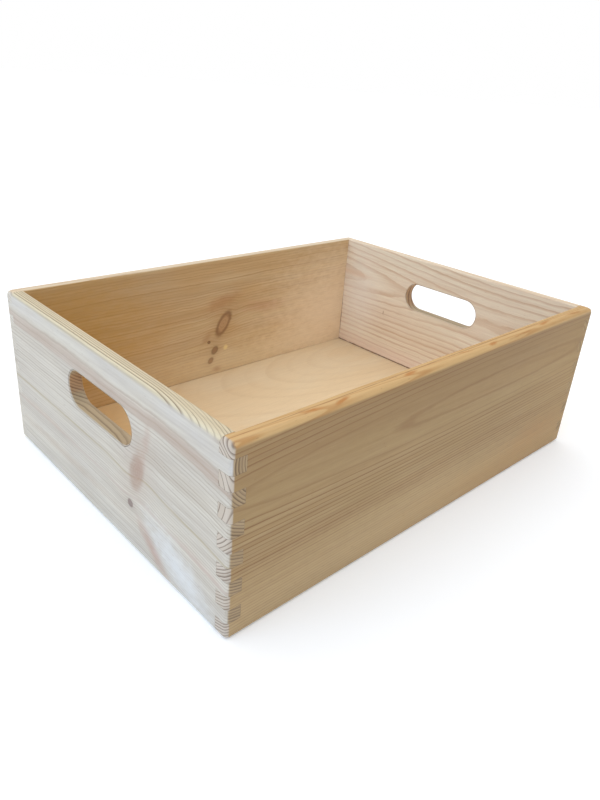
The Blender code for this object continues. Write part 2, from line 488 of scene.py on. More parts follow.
# %% Writing a node tree: masks, places and colours
def ramp(tree, value, start, end, low=0.0, high=1.0):
    """A smooth step from low to high while the value goes from start to end."""
    node = tree.nodes.new("ShaderNodeMapRange")
    node.interpolation_type = "SMOOTHSTEP"
    names = ("Value", "From Min", "From Max", "To Min", "To Max")
    for name, number in zip(names, (value, start, end, low, high)):
        plug(tree, node.inputs[name], number)
    return node.outputs["Result"]


def stretched(tree, place, factors, shift=0.0):
    """The place with each direction multiplied, and moved along by a shift."""
    node = tree.nodes.new("ShaderNodeVectorMath")
    node.operation = "MULTIPLY_ADD"
    plug(tree, node.inputs[0], place)
    plug(tree, node.inputs[1], factors)
    shifts = shift if isinstance(shift, bpy.types.NodeSocket) else (shift, shift, shift)
    plug(tree, node.inputs[2], shifts)
    return node.outputs[0]


def noise(tree, place, detail=2.0, roughness=0.5):
    node = tree.nodes.new("ShaderNodeTexNoise")
    plug(tree, node.inputs["Vector"], place)
    plug(tree, node.inputs["Scale"], 1.0)
    plug(tree, node.inputs["Detail"], detail)
    plug(tree, node.inputs["Roughness"], roughness)
    return node.outputs["Fac"]


def split(tree, vector):
    node = tree.nodes.new("ShaderNodeSeparateXYZ")
    plug(tree, node.inputs[0], vector)
    return node.outputs[0], node.outputs[1], node.outputs[2]


def joined(tree, x, y, z):
    node = tree.nodes.new("ShaderNodeCombineXYZ")
    for socket, value in zip(node.inputs, (x, y, z)):
        plug(tree, socket, value)
    return node.outputs[0]


def tinted(tree, factor, base, top, mode="MIX"):
    """The base colour with another colour over it, as strong as the factor."""
    node = tree.nodes.new("ShaderNodeMix")
    node.data_type = "RGBA"
    node.blend_type = mode
    plug(tree, node.inputs["Factor"], factor)
    plug(tree, node.inputs["A"], base)
    plug(tree, node.inputs["B"], top)
    return node.outputs["Result"]


# %% Making and placing a node group
def new_group(name, inputs, outputs):
    """inputs gives each input's starting number, or three numbers for a place."""
    group = bpy.data.node_groups.new(name, "ShaderNodeTree")
    for label, value in inputs.items():
        kind = "NodeSocketVector" if isinstance(value, tuple) else "NodeSocketFloat"
        socket = group.interface.new_socket(name=label, in_out="INPUT", socket_type=kind)
        socket.default_value = value
    for label in outputs:
        group.interface.new_socket(name=label, in_out="OUTPUT", socket_type="NodeSocketFloat")
    entry = group.nodes.new("NodeGroupInput")
    leave = group.nodes.new("NodeGroupOutput")
    return group, {socket.name: socket for socket in entry.outputs if socket.name}, leave


def plug_all(tree, sockets, values):
    """Plugs each value into the socket of its name, where half_length means Half length."""
    for name, value in values.items():
        plug(tree, sockets[name.replace("_", " ").capitalize()], value)


def place_group(tree, group, **values):
    node = tree.nodes.new("ShaderNodeGroup")
    node.node_tree = group
    node.label = group.name
    plug_all(tree, node.inputs, values)
    return node


def send_out(group, leave, **values):
    plug_all(group, leave.inputs, values)


# %% [markdown]
# ### Patches and knots
#
# A soft oval with a ragged edge does four jobs: a stain, a patch of painted light or shade, a
# pale or reddish zone beside a knot, and the knot itself. A knot is the foot of a branch, cut
# across, so it has rings of its own and a dark edge of bark. The trunk's layers bulge round it,
# so the knot also gives a number that moves the board's rings.

# %% Oval patch group
def make_oval_patch():
    group, given, leave = new_group("oval_patch", {
        "Place": (0.0, 0.0, 0.0), "Along": 0.0, "Height": 0.0, "Half length": 10.0, "Half height": 5.0,
        "Lean": 0.0, "Ragged": 0.2, "Inner edge": 0.6}, ("Mask", "Distance", "Side"))
    along, depth, height = split(group, given["Place"])
    right = minus(group, along, given["Along"])
    up = minus(group, height, given["Height"])
    cosine = calc(group, "COSINE", given["Lean"])
    sine = calc(group, "SINE", given["Lean"])
    length = total(group, product(group, right, cosine), product(group, up, sine))
    width = minus(group, product(group, up, cosine), product(group, right, sine))
    length = divided(group, length, given["Half length"])
    width = divided(group, width, given["Half height"])
    rough = minus(group, noise(group, stretched(group, given["Place"], (0.12, 0.1, 0.24)), 3.0), 0.5)
    squares = total(group, product(group, length, length), product(group, width, width))
    distance = total(group, calc(group, "SQRT", squares), product(group, rough, given["Ragged"]))
    mask = ramp(group, distance, 1.0, given["Inner edge"])
    send_out(group, leave, mask=mask, distance=distance, side=width)
    return group


OVAL_PATCH = make_oval_patch()

# %% Knot group
def make_knot():
    group, given, leave = new_group("knot", {
        "Place": (0.0, 0.0, 0.0), "Along": 0.0, "Height": 0.0, "Half length": 6.0, "Half height": 6.0,
        "Lean": 0.0, "Push": 4.0, "Reach": 2.4, "Soft": 0.12}, ("Core", "Edge", "Halo", "Lines", "Shift"))
    oval = place_group(group, OVAL_PATCH, place=given["Place"], along=given["Along"],
                       height=given["Height"], half_length=given["Half length"],
                       half_height=given["Half height"], lean=given["Lean"], ragged=0.35, inner_edge=0.8)
    distance = oval.outputs["Distance"]
    soft = given["Soft"]
    inside = ramp(group, distance, total(group, 1.0, soft), minus(group, 1.0, soft))
    outer_fade = ramp(group, distance, total(group, 1.06, soft), 0.92)
    edge = product(group, ramp(group, distance, 0.6, 0.95), outer_fade)
    spread = divided(group, distance, given["Reach"])
    halo = calc(group, "EXPONENT", product(group, spread, spread, -1.0))
    wobble = noise(group, given["Place"], 2.0)
    turns = calc(group, "SINE", total(group, product(group, distance, 19.0), wobble))
    side = divided(group, oval.outputs["Side"], given["Reach"])
    lines = product(group, ramp(group, turns, -0.2, 1.0), inside)
    shift = product(group, side, halo, given["Push"])
    send_out(group, leave, core=inside, edge=edge, halo=halo, lines=lines, shift=shift)
    return group


KNOT = make_knot()

# %% [markdown]
# ### Growth rings
#
# The ring count at a point is its distance from the centre line of the trunk, divided by
# the width of a ring. The centre line may lean, bow and turn aside near one end, because a
# trunk isn't straight: that is what draws pointed arches on a flat face. Every ring takes a
# random number for its strength, its width and its colour.

# %% How far a point is from the trunk's centre line
TURN_RISE = 20.0


def trunk_distance(group, given):
    """The distance to the centre line, and how far above that line the point is."""
    along, depth, height = split(group, given["Place"])
    from_middle = minus(group, along, given["Bow middle"])
    past_turn = calc(group, "MINIMUM", minus(group, along, given["Turn start"]), 0.0)
    turned = product(group, past_turn, past_turn)
    high = ramp(group, height, given["Turn low"], total(group, given["Turn low"], TURN_RISE))
    centre_depth = total(group, given["Centre depth"], product(group, given["Depth lean"], along),
                         product(group, given["Bow"], from_middle, from_middle),
                         product(group, given["Turn"], turned, high))
    centre_height = total(group, given["Centre height"], product(group, given["Height lean"], along),
                          product(group, given["Dip"], turned))
    sideways = minus(group, depth, centre_depth)
    upward = minus(group, minus(group, height, centre_height), given["Shift"])
    squares = total(group, product(group, sideways, sideways), product(group, upward, upward))
    return calc(group, "SQRT", squares), upward


def wavering(group, given, radius):
    """Layers are never true rings: they bend slowly, bend quickly and ripple a little."""
    def uneven(factors, detail, roughness=0.5):
        place = stretched(group, given["Place"], factors, given["Seed"])
        return minus(group, noise(group, place, detail, roughness), 0.5)
    slow = uneven((0.011, 0.03, 0.03), 1.0)
    quick = uneven((0.035, 0.16, 0.16), 2.0)
    ripple = uneven((0.06, 0.05, 0.09), 2.0, 0.6)
    bend = total(group, slow, product(group, quick, 0.28))
    return total(group, radius, product(group, bend, given["Waver"]),
                 product(group, ripple, given["Ripple"], 4.0))


# %% Growth ring group
LINE_PEAK = 0.92
HEART_REACH = 5.0
FLAT_REACH = 7.0


def ring_dice(group, ring, seed):
    """Three random numbers for each ring."""
    dice = group.nodes.new("ShaderNodeTexWhiteNoise")
    dice.noise_dimensions = "1D"
    plug(group, dice.inputs["W"], total(group, ring, seed))
    return split(group, dice.outputs["Color"])


def make_growth_rings():
    """Each ring darkens slowly up to LINE_PEAK of its width and then ends sharply."""
    group, given, leave = new_group("growth_rings", {
        "Place": (0.0, 0.0, 0.0), "Centre depth": 28.0, "Centre height": 67.0, "Depth lean": 0.0,
        "Height lean": 0.0, "Bow": 0.0, "Bow middle": 0.0, "First ring": 30.0, "Ring width": 2.0,
        "Heart gap": 0.0, "Turn": 0.0, "Turn start": 0.0, "Turn low": 0.0, "Dip": 0.0, "Waver": 1.0,
        "Ripple": 0.2, "Shift": 0.0, "Line width": 0.8, "Weakest": 0.3, "Flat fade": 0.0, "Seed": 0.0},
        ("Latewood", "Cut line", "Tone", "Radius"))
    radius, upward = trunk_distance(group, given)
    radius = wavering(group, given, radius)
    beyond = minus(group, radius, given["First ring"])
    near = calc(group, "EXPONENT", divided(group, unsigned(group, beyond), -HEART_REACH))
    heart = product(group, near, given["Heart gap"])
    gap = product(group, minus(group, 1.0, near), calc(group, "SIGN", beyond), given["Heart gap"])
    count = minus(group, divided(group, beyond, given["Ring width"]), gap)
    count = total(group, count, LINE_PEAK)
    part = calc(group, "FRACT", count)
    strength, width, tone = ring_dice(group, calc(group, "FLOOR", count), given["Seed"])

    per_millimetre = minus(group, divided(group, 1.0, given["Ring width"]), product(group, heart, 0.2))
    before = divided(group, minus(group, LINE_PEAK, part), per_millimetre)
    thinner = total(group, 1.0, product(group, heart, -0.45))
    line_width = product(group, given["Line width"], total(group, width, 0.6), thinner)
    line = product(group, ramp(group, before, line_width, 0.0), ramp(group, part, 1.0, 0.94))
    cut_line = product(group, ramp(group, before, product(group, line_width, 1.6), 0.0),
                       ramp(group, part, 1.0, LINE_PEAK))
    spread = minus(group, 1.0, given["Weakest"])
    power = total(group, product(group, strength, spread), given["Weakest"])
    level = divided(group, upward, FLAT_REACH)
    flat = product(group, calc(group, "EXPONENT", product(group, level, level, -1.0)), given["Flat fade"])
    faint = product(group, total(group, 1.0, product(group, heart, -0.32)), minus(group, 1.0, flat))
    latewood = product(group, line, power, faint)
    cut_line = product(group, cut_line, total(group, 0.5, product(group, power, 0.5)))
    send_out(group, leave, latewood=latewood, cut_line=cut_line, tone=tone, radius=radius)
    return group


GROWTH_RINGS = make_growth_rings()

# %% [markdown]
# ### Fibres, resin and end grain
#
# Sanded pine still shows its fibres as streaks, many times longer than they are wide, and
# short brown dashes where a resin channel runs along the face. Noise that is stretched
# along the board gives the streaks, in three widths, and stretched cells give the dashes.
# Across the ends, the fibres are cut open, so the wood looks greyer and its lines darker.

# %% Fibre group
def make_pine_fibre():
    group, given, leave = new_group("pine_fibre", {"Place": (0.0, 0.0, 0.0), "Seed": 0.0},
                                    ("Streak", "Broad", "Fine", "Mottle", "Resin"))

    def stretched_noise(along, across, detail, roughness=0.5):
        place = stretched(group, given["Place"], (along, across, across), given["Seed"])
        return noise(group, place, detail, roughness)
    cells = group.nodes.new("ShaderNodeTexVoronoi")
    cell_place = stretched(group, given["Place"], (0.11, 0.62, 0.62), given["Seed"])
    plug(group, cells.inputs["Vector"], cell_place)
    plug(group, cells.inputs["Scale"], 1.0)
    kept = ramp(group, split(group, cells.outputs["Color"])[0], 0.66, 0.72)
    dash = ramp(group, cells.outputs["Distance"], 0.17, 0.07)
    send_out(group, leave, broad=stretched_noise(0.006, 0.17, 2.0),
             streak=stretched_noise(0.014, 0.55, 3.0, 0.6), fine=stretched_noise(0.09, 2.6, 3.0, 0.65),
             mottle=stretched_noise(0.011, 0.035, 2.0), resin=product(group, dash, kept))
    return group


PINE_FIBRE = make_pine_fibre()

# %% Cut end group
def make_cut_end():
    """How far a surface faces along the grain, from its own normal."""
    group, given, leave = new_group("cut_end", {"Facing": 0.0, "Start": 0.3, "Full": 0.8}, ("Mask",))
    facing = unsigned(group, given["Facing"])
    send_out(group, leave, mask=ramp(group, facing, given["Start"], given["Full"]))
    return group


CUT_END = make_cut_end()

# %% [markdown]
# ### Joint lines
#
# Glue and dust darken the last tenth of a millimetre beside each joint, and a few chips
# break the line. The line runs level between two fingers and upright where a finger meets
# the face of its neighbour.

# %% Joint line group
LONG_COMB_START = (HALF_LENGTH - END_BOARD) / MM
END_COMB_START = (HALF_WIDTH - LONG_BOARD) / MM
NO_COMB = 2 * HALF_LENGTH / MM


def make_joint_line():
    group, given, leave = new_group("joint_line", {
        "Place": (0.0, 0.0, 0.0), "Comb start": LONG_COMB_START, "Lowest joint": JOINT_LEVELS[0] / MM,
        "Finger": FINGER / MM, "Width": 0.25, "Odd bands": 0.0}, ("Mask",))
    along, depth, height = split(group, given["Place"])
    rough = noise(group, stretched(group, given["Place"], (0.5, 0.5, 0.5)), 3.0)
    steps = divided(group, minus(group, height, given["Lowest joint"]), given["Finger"])
    off = unsigned(group, minus(group, steps, calc(group, "ROUND", steps)))
    off_level = product(group, off, given["Finger"])
    reach = minus(group, unsigned(group, along), given["Comb start"])
    in_comb = calc(group, "GREATER_THAN", reach, -0.05)
    off_upright = unsigned(group, reach)
    edge = product(group, given["Width"], total(group, product(group, rough, 2.2), -0.3))
    level_line = product(group, ramp(group, off_level, edge, 0.0), in_comb,
                         calc(group, "GREATER_THAN", steps, -0.3))
    band = total(group, calc(group, "FLOOR", steps), given["Odd bands"])
    own_band = calc(group, "LESS_THAN", calc(group, "FLOORED_MODULO", band, 2.0), 0.5)
    upright_line = product(group, ramp(group, off_upright, edge, 0.0), own_band)
    send_out(group, leave, mask=calc(group, "MAXIMUM", level_line, upright_line))
    return group


JOINT_LINE = make_joint_line()
print("groups:", [group.name for group in bpy.data.node_groups])

# %% [markdown]
# ### One pine board
#
# All four boards use the same groups. What differs is where the trunk's centre lay, how wide
# the rings grew, where the knots, stains and patches of painted light and shade are, and the
# colours. All places in a material are in millimetres: along the board, through it, and up.

# %% Colours and places
def oval_values(spot):
    """A spot is its place along and up, its two half sizes, and its lean in degrees."""
    along, height, half_length, half_height, lean = spot
    return {"along": along, "height": height, "half_length": half_length, "half_height": half_height,
            "lean": math.radians(lean)}


def srgb(red, green, blue):
    """A colour given from 0 to 255, turned into the form the shader wants."""
    def linear(value):
        value = value / 255.0
        return value / 12.92 if value <= 0.04045 else ((value + 0.055) / 1.055) ** 2.4
    return (linear(red), linear(green), linear(blue), 1.0)


def board_place(tree, along_x):
    """The place in a board's own directions, in millimetres, and how far it faces each."""
    source = tree.nodes.new("ShaderNodeTexCoord")
    x, y, z = split(tree, stretched(tree, source.outputs["Object"], (1 / MM, 1 / MM, 1 / MM)))
    facing_x, facing_y, facing_z = split(tree, source.outputs["Normal"])
    if along_x:
        return joined(tree, x, y, z), facing_x, facing_y, facing_z
    return joined(tree, y, x, z), facing_y, facing_x, facing_z


def with_stain_and_painted_light(tree, place, wood, stains_and_painted_light):
    """Each entry, a stain or a patch of painted light or shade, is a spot, how ragged it is, its inner
    edge, its colour and its strength.
    """
    for spot, ragged, inner, colour, strength in stains_and_painted_light:
        patch = place_group(tree, OVAL_PATCH, place=place, ragged=ragged, inner_edge=inner,
                            **oval_values(spot))
        wood = tinted(tree, product(tree, patch.outputs["Mask"], strength), wood, srgb(*colour))
    return wood


# %% The flat faces
def face_colour(tree, place, ring, fibre, streak, colours, bands, stains_and_painted_light):
    """Two pale woods in turn, hard lines, two widths of streak, whole bands, then stains and patches of
    painted light and shade.
    """
    line = srgb(*colours["line"])
    face = tinted(tree, ring.outputs["Tone"], srgb(*colours["pale"]), srgb(*colours["pale_other"]))
    face = tinted(tree, ramp(tree, fibre.outputs["Mottle"], 0.35, 0.65), face, srgb(*colours["mottle"]))
    face = tinted(tree, product(tree, ring.outputs["Latewood"], colours["contrast"]), face, line)
    face = tinted(tree, streak, face, line)
    broad = ramp(tree, fibre.outputs["Broad"], 0.42, 0.66, 0.0, 0.8 * colours["streak"])
    face = tinted(tree, broad, face, line)
    for low, high, colour, strength in bands:
        fade = 0.35 * (high - low)
        within = product(tree, ramp(tree, ring.outputs["Radius"], low, low + fade),
                         ramp(tree, ring.outputs["Radius"], high, high - fade))
        grainy = ramp(tree, fibre.outputs["Streak"], 0.25, 0.6, 0.55, 1.0)
        face = tinted(tree, product(tree, within, grainy, strength), face, srgb(*colour))
    return with_stain_and_painted_light(tree, place, face, stains_and_painted_light)


# %% The rim
RIM_BAND = (HEIGHT / MM - 10.0, HEIGHT / MM - 6.0)


def with_rim(tree, place, wood, rim_line, streak, facing_up, rim_facing, colours, rim_stains):
    """The rim has a colour of its own, and stains placed along and across its width."""
    dark = srgb(*colours["rim_line"])
    rim = tinted(tree, product(tree, rim_line, colours["rim_contrast"]), srgb(*colours["rim"]), dark)
    rim = tinted(tree, streak, rim, dark)
    along, depth, height = split(tree, place)
    rim = with_stain_and_painted_light(tree, joined(tree, along, height, depth), rim, rim_stains)
    on_rim = product(tree, ramp(tree, facing_up, *rim_facing), ramp(tree, height, *RIM_BAND))
    return tinted(tree, on_rim, wood, rim)


# %% The cut ends and the walls of the hand slot
# The slot's walls are cut wood, darker than the faces, and these colours are darker still as painted
# shade inside the slot.
SLOT_SIDE_WALL_SHADED = srgb(184, 164, 132)
SLOT_SIDE_LINE_SHADED = srgb(112, 88, 64)
SLOT_CROSS_WALL_SHADED = srgb(196, 160, 122)
SLOT_CROSS_LINE_SHADED = srgb(122, 80, 50)
SLOT_PAST_LENGTH = (2.25, 0.45)
SLOT_PAST_HEIGHT = (1.75, 0.35)


def end_colour(tree, ring, colours):
    bare = tinted(tree, ring.outputs["Tone"], srgb(*colours["end"]), srgb(*colours["end_other"]))
    line = product(tree, ring.outputs["Cut line"], colours["end_contrast"])
    return tinted(tree, line, bare, srgb(*colours["end_line"]))


def with_slot_walls(tree, place, wood, ring, cut, facing_face, slot_middle):
    """The slot's walls run along the grain above and below, and across it at both ends, in cut-wood
    colours darkened further as painted shade.
    """
    along, depth, height = split(tree, place)
    off_middle = unsigned(tree, minus(tree, along, slot_middle))
    off_height = unsigned(tree, minus(tree, height, SLOT_MIDDLE / MM))
    length_fade = [SLOT_HALF_LENGTH / MM + past for past in SLOT_PAST_LENGTH]
    height_fade = [SLOT_HALF_HEIGHT / MM + past for past in SLOT_PAST_HEIGHT]
    in_slot = product(tree, ramp(tree, off_middle, *length_fade), ramp(tree, off_height, *height_fade),
                      ramp(tree, unsigned(tree, facing_face), 0.8, 0.3))
    # Painted shade: the wall colours here are darkened for the shade inside the slot.
    wall = tinted(tree, product(tree, ring.outputs["Latewood"], 0.8), SLOT_SIDE_WALL_SHADED, SLOT_SIDE_LINE_SHADED)
    end = tinted(tree, product(tree, ring.outputs["Cut line"], 0.85), SLOT_CROSS_WALL_SHADED, SLOT_CROSS_LINE_SHADED)
    return tinted(tree, in_slot, wood, tinted(tree, cut, wall, end))


# %% The knots
def place_knots(tree, place, knots):
    """Each knot is a spot, how hard it pushes the rings, how far, and its look."""
    nodes = []
    for spot, push, reach, look in knots:
        node = place_group(tree, KNOT, place=place, push=push, reach=reach, soft=look["soft"],
                           **oval_values(spot))
        nodes.append((node, look))
    return nodes


def with_knots(tree, wood, knot_nodes):
    for node, look in knot_nodes:
        dark = srgb(*look["ring"])
        heart = tinted(tree, product(tree, node.outputs["Lines"], 0.35), srgb(*look["heart"]), dark)
        wood = tinted(tree, product(tree, node.outputs["Halo"], look["halo"]), wood, dark)
        wood = tinted(tree, product(tree, node.outputs["Core"], look["cover"]), wood, heart)
        wood = tinted(tree, product(tree, node.outputs["Edge"], look["edge"]), wood, srgb(*look["bark"]))
    return wood


# %% [markdown]
# The gloss and the bump come from the same masks as the colours: hard lines stand a few
# hundredths of a millimetre proud of the soft wood and shine a little more, cut ends are
# duller, and resin channels and joints are shallow grooves.

# %% Gloss and relief
RELIEF_DEPTH = 0.08 * MM


def add_gloss_and_relief(tree, shader, latewood, fibre, cut, joint):
    fine = fibre.outputs["Fine"]
    gloss = total(tree, 0.56, product(tree, latewood, -0.07), product(tree, fine, 0.1),
                  product(tree, cut, 0.12))
    plug(tree, shader.inputs["Roughness"], gloss)
    relief = total(tree, product(tree, latewood, 0.35), product(tree, fine, 0.5),
                   product(tree, fibre.outputs["Resin"], -0.4), product(tree, joint, -1.5))
    bump = tree.nodes.new("ShaderNodeBump")
    bump.inputs["Strength"].default_value = 0.35
    bump.inputs["Distance"].default_value = RELIEF_DEPTH
    plug(tree, bump.inputs["Height"], relief)
    plug(tree, shader.inputs["Normal"], bump.outputs["Normal"])


# %% Pine material
def pine(name, along_x, rings, colours, knots=(), stains_and_painted_light=(), bands=(), rim_stains=(), seed=0.0,
         comb_start=LONG_COMB_START, slot_middle=None, rim_rings=None, rim_facing=(0.5, 0.95),
         end_facing=(0.3, 0.8)):
    """rim_facing and end_facing say how far a surface has turned when its wood takes over."""
    material = bpy.data.materials.new(name)
    material.use_nodes = True
    tree = material.node_tree
    place, facing_end, facing_face, facing_up = board_place(tree, along_x)
    knot_nodes = place_knots(tree, place, knots)
    shift = total(tree, 0.0, *[node.outputs["Shift"] for node, look in knot_nodes])
    ring = place_group(tree, GROWTH_RINGS, place=place, shift=shift, seed=seed, **rings)
    latewood = ring.outputs["Latewood"]
    fibre = place_group(tree, PINE_FIBRE, place=place, seed=seed)
    streak = ramp(tree, fibre.outputs["Streak"], 0.3, 0.72, 0.0, colours["streak"])
    cut_node = place_group(tree, CUT_END, facing=facing_end, start=end_facing[0], full=end_facing[1])
    cut = cut_node.outputs["Mask"]

    rim_line = latewood
    if rim_rings is not None:
        rim_node = place_group(tree, GROWTH_RINGS, place=place, seed=seed, **rim_rings)
        rim_line = rim_node.outputs["Latewood"]
    wood = face_colour(tree, place, ring, fibre, streak, colours, bands, stains_and_painted_light)
    wood = with_rim(tree, place, wood, rim_line, streak, facing_up, rim_facing, colours, rim_stains)
    wood = tinted(tree, cut, wood, end_colour(tree, ring, colours))
    if slot_middle is not None:
        wood = with_slot_walls(tree, place, wood, ring, cut, facing_face, slot_middle)
    wood = with_knots(tree, wood, knot_nodes)
    wood = tinted(tree, product(tree, fibre.outputs["Resin"], 0.35), wood, srgb(*colours["line"]))
    fine = ramp(tree, fibre.outputs["Fine"], 0.2, 0.8, 0.93, 1.05)
    wood = tinted(tree, 1.0, wood, joined(tree, fine, fine, fine), "MULTIPLY")
    joint_node = place_group(tree, JOINT_LINE, place=place, comb_start=comb_start,
                             odd_bands=0.0 if along_x else 1.0)
    joint = joint_node.outputs["Mask"]
    wood = tinted(tree, product(tree, joint, 0.6), wood, srgb(*colours["joint"]))

    shader = tree.nodes["Principled BSDF"]
    plug(tree, shader.inputs["Base Color"], wood)
    add_gloss_and_relief(tree, shader, latewood, fibre, cut, joint)
    return material


# %% [markdown]
# ### The four boards and the floor
#
# A board's rings are given: where the centre line lies, how it leans or bows, and how
# wide a ring is. The front was cut flat, close to a centre line just inside the crate and
# near the rim, so a pointed arch stands over many straight lines. The back has faint lines
# and the largest knot, the left end is pale with a leaning knot, and the right end has wide
# rings. The floor is plywood, whose peeled face shows only broad, faint arcs.

# %% Front board
FRONT_PINE = pine(
    "front_pine", True, seed=3,
    rings={"centre_depth": -118.95, "centre_height": 100, "height_lean": 0.016, "bow": 6.2e-5,
           "bow_middle": 80, "first_ring": 30, "ring_width": 2.12, "heart_gap": 1.7, "waver": 0.8,
           "ripple": 0.1, "line_width": 0.75, "weakest": 0.45},
    colours={"pale": (179, 152, 108), "pale_other": (173, 143, 97), "mottle": (173, 145, 99),
             "line": (126, 82, 40), "contrast": 0.9, "streak": 0.17, "rim": (212, 176, 122),
             "rim_line": (180, 124, 62), "rim_contrast": 0.7, "end": (206, 192, 176),
             "end_other": (196, 181, 163), "end_line": (106, 86, 70), "end_contrast": 0.85,
             "joint": (96, 74, 54)},
    rim_facing=(0.05, 0.5), end_facing=(0.08, 0.4),
    stains_and_painted_light=[((0, 126, 700, 44, 0), 0.3, 0, (142, 106, 62), 0.48),
            # Painted light: this pale patch makes the lower part of the front lighter.
            ((-40, 16, 420, 46, 0), 0.3, 0, (222, 195, 150), 0.4),
            # Painted shade: a warmer, darker patch on the right part of the front, set against the cool
            # reflection of the surroundings there.
            ((200, 67, 140, 120, 0), 0.3, 0, (174, 138, 80), 0.35),
            # Darker and more orange-brown along the bottom edge, most toward the right.
            ((110, 12, 230, 30, 0), 0.6, 0, (190, 144, 84), 0.35),
            ((150, 30, 70, 20, 4), 0.8, 0, (182, 130, 76), 0.25)],
    rim_stains=[((0, -140.9, 420, 0.45, 0.2), 0.9, 0.2, (142, 92, 44), 0.75),
                ((-139, -143.6, 12, 2.4, -6), 1, 0.2, (180, 112, 40), 0.8),
                ((-116, -144.6, 9, 1.9, 8), 1, 0.2, (180, 112, 40), 0.75),
                ((-51, -143.4, 11, 2.2, 6), 1, 0.1, (184, 116, 46), 0.75),
                ((11, -142.6, 9, 1.7, -8), 1, 0.1, (184, 116, 46), 0.7),
                ((45, -144.4, 9, 1.9, 6), 1, 0.1, (184, 116, 46), 0.7),
                ((86, -145.6, 26, 1.2, 2), 1, 0.1, (170, 112, 52), 0.6),
                ((122, -143.2, 13, 2.2, 5), 1, 0.1, (184, 116, 46), 0.75),
                ((170, -144.6, 20, 1.5, -3), 1, 0.1, (176, 112, 46), 0.6)])

# %% Back board, with the large knot and three small ones
BACK_PINE = pine(
    "back_pine", True, seed=11,
    rings={"centre_depth": 190, "centre_height": -40, "height_lean": 0.015, "bow": 2e-5,
           "bow_middle": -40, "first_ring": 30, "ring_width": 2.6, "waver": 5, "ripple": 0.4,
           "line_width": 1, "weakest": 0.2},
    colours={"pale": (232, 208, 168), "pale_other": (226, 200, 156), "mottle": (228, 196, 146),
             "line": (182, 134, 84), "contrast": 0.6, "streak": 0.2, "rim": (226, 208, 180),
             "rim_line": (190, 156, 116), "rim_contrast": 0.45, "end": (214, 206, 192),
             "end_other": (206, 196, 180), "end_line": (140, 122, 104), "end_contrast": 0.5,
             "joint": (128, 110, 92)},
    knots=[((11, 66, 12.6, 6, 58), 7, 2.3,
            {"heart": (198, 158, 118), "ring": (162, 112, 72), "bark": (122, 76, 42), "halo": 0.25,
             "cover": 0.7, "edge": 0.6, "soft": 0.4}),
           ((0.5, 38.7, 4, 3, 45), 1.6, 1.8,
            {"heart": (146, 98, 62), "ring": (124, 80, 50), "bark": (104, 66, 42), "halo": 0.2,
             "cover": 0.6, "edge": 0.4, "soft": 0.5}),
           ((-4.5, 28, 3.2, 2.4, 45), 1.2, 1.8,
            {"heart": (154, 104, 70), "ring": (134, 86, 56), "bark": (120, 76, 50), "halo": 0.2,
             "cover": 0.55, "edge": 0.35, "soft": 0.5}),
           ((-7, 49, 1.7, 1.4, 0), 0.5, 1.8,
            {"heart": (140, 94, 62), "ring": (120, 78, 52), "bark": (108, 70, 48), "halo": 0.1,
             "cover": 0.7, "edge": 0.7, "soft": 0.3})],
    stains_and_painted_light=[((10, 90, 34, 10, 14), 0.9, 0, (188, 122, 80), 0.42),
            ((66, 76, 44, 11, -6), 0.9, 0, (194, 124, 84), 0.4),
            ((40, 20, 260, 34, 0), 0.5, 0, (244, 226, 190), 0.6),
            # Painted shade: a thin dark line along the foot of the board, where it meets the floor.
            ((0, 11.6, 500, 0.5, 0), 0.8, 0.2, (156, 108, 68), 0.3),
            # Painted light: warm orange over the left part, for the warm light thrown back inside the
            # crate there.
            ((-160, 80, 120, 90, 0), 0.5, 0, (212, 162, 62), 0.6),
            # Painted light: pale over the right part, where more light falls.
            ((165, 50, 140, 110, 0), 0.6, 0, (255, 232, 200), 0.9),
            ((-10, 54, 14, 5, 40), 0.9, 0, (176, 116, 76), 0.35),
            ((4, 17, 9, 5, 0), 0.8, 0, (180, 122, 82), 0.4),
            ((14.5, 39, 4, 3.6, 0), 0.4, 0.3, (255, 232, 168), 0.85)])

